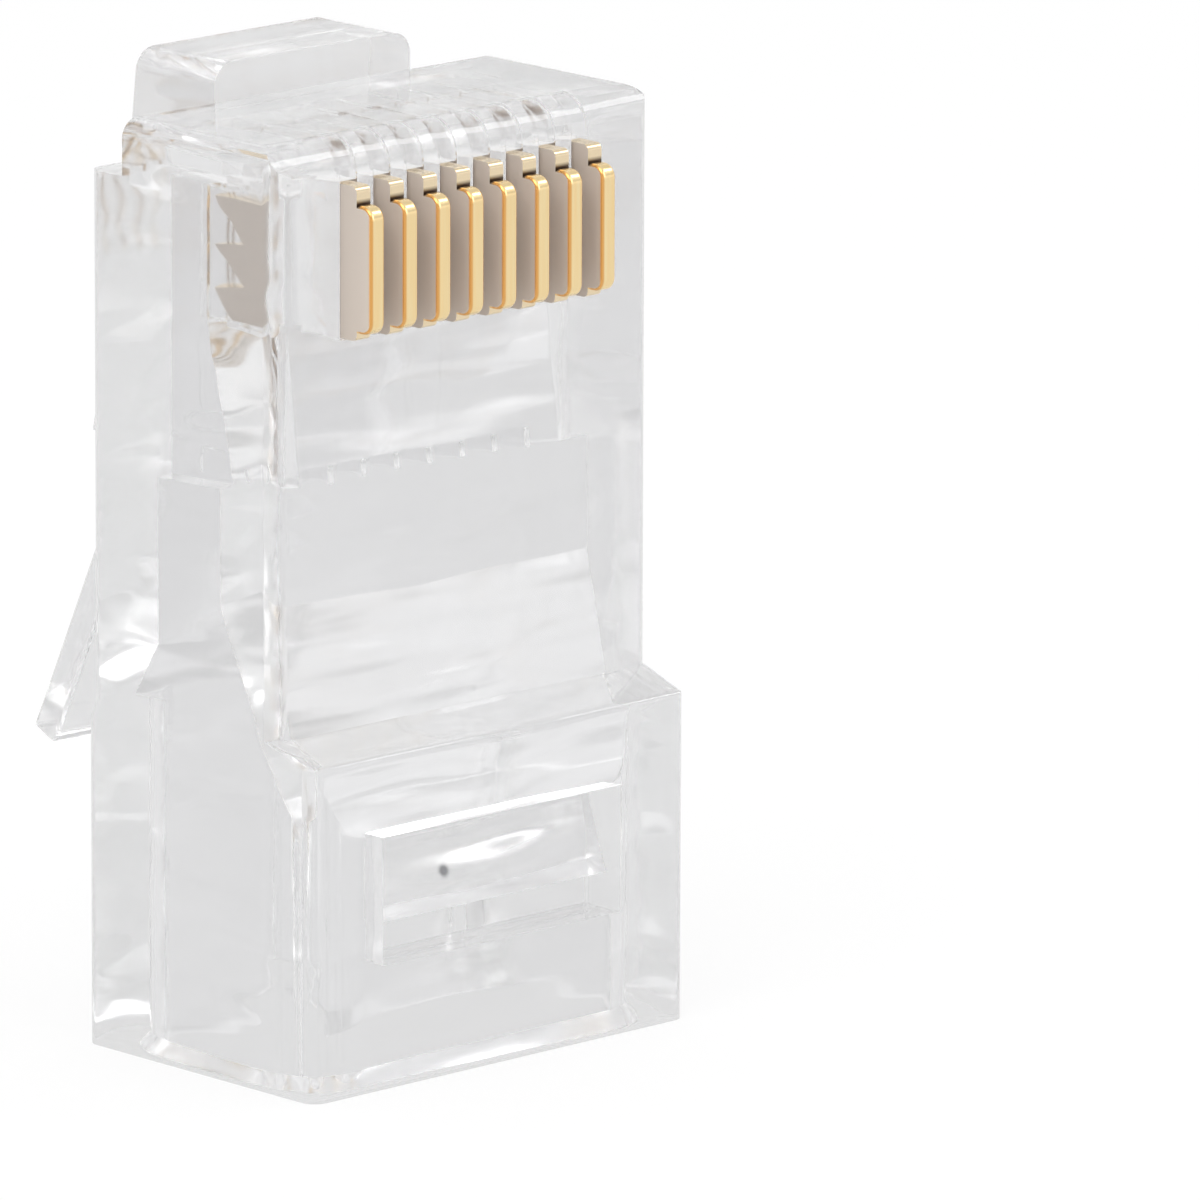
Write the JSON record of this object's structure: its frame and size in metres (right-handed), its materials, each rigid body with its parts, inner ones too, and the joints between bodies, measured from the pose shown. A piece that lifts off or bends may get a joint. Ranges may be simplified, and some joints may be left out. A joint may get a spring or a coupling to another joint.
{
  "type": "modular plug",
  "caption": "Clear uncrimped modular plug for network cable, with sprung latch, eight gold blade contacts and jacket clamp.",
  "frame": {"origin": "middle of the cable mouth, in the plane of the cable end", "axes": "+Z along the plug to the nose; X along the row of contacts; +Y towards the latch, contacts at -Y"},
  "size_m": [0.0116, 0.0143, 0.0227],
  "materials": {
    "clear_housing": "clear moulded polycarbonate, glossy",
    "clear_latch": "clear moulded polycarbonate, glossy",
    "clear_clamp": "clear moulded polycarbonate, glossy",
    "gold_contact": "gold-plated bronze, polished crown, satin sides"
  },
  "bodies": {
    "housing": {"plug_housing": "clear_housing"},
    "latch": {"latch_lever": "clear_latch"},
    "clamp": {"cable_clamp": "clear_clamp"},
    "blade_1": {"contact_1": "gold_contact"},
    "blade_2": {"contact_2": "gold_contact"},
    "blade_3": {"contact_3": "gold_contact"},
    "blade_4": {"contact_4": "gold_contact"},
    "blade_5": {"contact_5": "gold_contact"},
    "blade_6": {"contact_6": "gold_contact"},
    "blade_7": {"contact_7": "gold_contact"},
    "blade_8": {"contact_8": "gold_contact"}
  },
  "joints": [
    {"name": "latch_press", "type": "hinge", "parent": "housing", "child": "latch", "pos_m": [0, 0.005, 0.02], "axis": [-1, 0, 0], "range_deg": [0, 12], "stiffness_Nm_per_rad": 0.02},
    {"name": "clamp_push", "type": "hinge", "parent": "housing", "child": "clamp", "pos_m": [0, -0.00268, 0.00548], "axis": [1, 0, 0], "range_deg": [0, 25]},
    {"name": "crimp_1", "type": "slide", "parent": "housing", "child": "blade_1", "axis": [0, 1, 0], "range_m": [0, 0.00125]},
    {"name": "crimp_2", "type": "slide", "parent": "housing", "child": "blade_2", "axis": [0, 1, 0], "range_m": [0, 0.00125]},
    {"name": "crimp_3", "type": "slide", "parent": "housing", "child": "blade_3", "axis": [0, 1, 0], "range_m": [0, 0.00125]},
    {"name": "crimp_4", "type": "slide", "parent": "housing", "child": "blade_4", "axis": [0, 1, 0], "range_m": [0, 0.00125]},
    {"name": "crimp_5", "type": "slide", "parent": "housing", "child": "blade_5", "axis": [0, 1, 0], "range_m": [0, 0.00125]},
    {"name": "crimp_6", "type": "slide", "parent": "housing", "child": "blade_6", "axis": [0, 1, 0], "range_m": [0, 0.00125]},
    {"name": "crimp_7", "type": "slide", "parent": "housing", "child": "blade_7", "axis": [0, 1, 0], "range_m": [0, 0.00125]},
    {"name": "crimp_8", "type": "slide", "parent": "housing", "child": "blade_8", "axis": [0, 1, 0], "range_m": [0, 0.00125]}
  ],
  "couplings": [
    {"joint": "crimp_2", "follows": "crimp_1", "ratio": 1},
    {"joint": "crimp_3", "follows": "crimp_1", "ratio": 1},
    {"joint": "crimp_4", "follows": "crimp_1", "ratio": 1},
    {"joint": "crimp_5", "follows": "crimp_1", "ratio": 1},
    {"joint": "crimp_6", "follows": "crimp_1", "ratio": 1},
    {"joint": "crimp_7", "follows": "crimp_1", "ratio": 1},
    {"joint": "crimp_8", "follows": "crimp_1", "ratio": 1}
  ]
}
